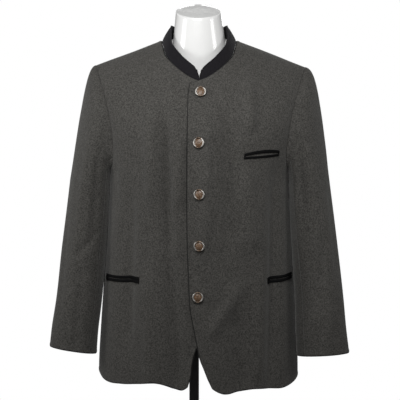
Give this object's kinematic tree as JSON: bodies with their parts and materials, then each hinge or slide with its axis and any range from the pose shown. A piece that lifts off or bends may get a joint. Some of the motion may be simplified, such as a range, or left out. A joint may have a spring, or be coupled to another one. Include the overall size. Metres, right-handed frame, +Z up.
{
  "type": "blazer on a dress form",
  "caption": "Dark grey felted wool blazer with a black stand collar and jetted pockets, buttoned on a white limbless torso form with a black pole and round base.",
  "frame": {"origin": "middle of the whole in plan, on the plane of the base plate's underside", "axes": "+Z up; -Y the way the blazer's front faces; +X the wearer's left, which is the right of the picture"},
  "size_m": [0.6641, 0.3289, 1.089],
  "materials": {
    "loden": "felted wool, mottled dark grey, matt",
    "black_felt": "black wool felt, matt",
    "jetting": "black wool jetting, matt",
    "old_silver": "aged silver-coloured metal",
    "horn": "brown horn-like button centre",
    "form_gloss": "white gloss shell",
    "stand_black": "black powder coat"
  },
  "bodies": {
    "root": {"front_left": "loden", "front_right": "loden", "back_left": "loden", "back_right": "loden", "sleeve_left_upper": "loden", "sleeve_left_under": "loden", "sleeve_right_upper": "loden", "sleeve_right_under": "loden", "collar": "black_felt", "breast_pocket": "jetting", "pocket_left": "jetting", "pocket_right": "jetting", "dress_form": "form_gloss", "pole": "stand_black", "base": "stand_black", "button_1_rim": "old_silver", "button_1_centre": "horn", "button_2_rim": "old_silver", "button_2_centre": "horn", "button_3_rim": "old_silver", "button_3_centre": "horn", "button_4_rim": "old_silver", "button_4_centre": "horn", "button_5_rim": "old_silver", "button_5_centre": "horn"}
  },
  "joints": []
}
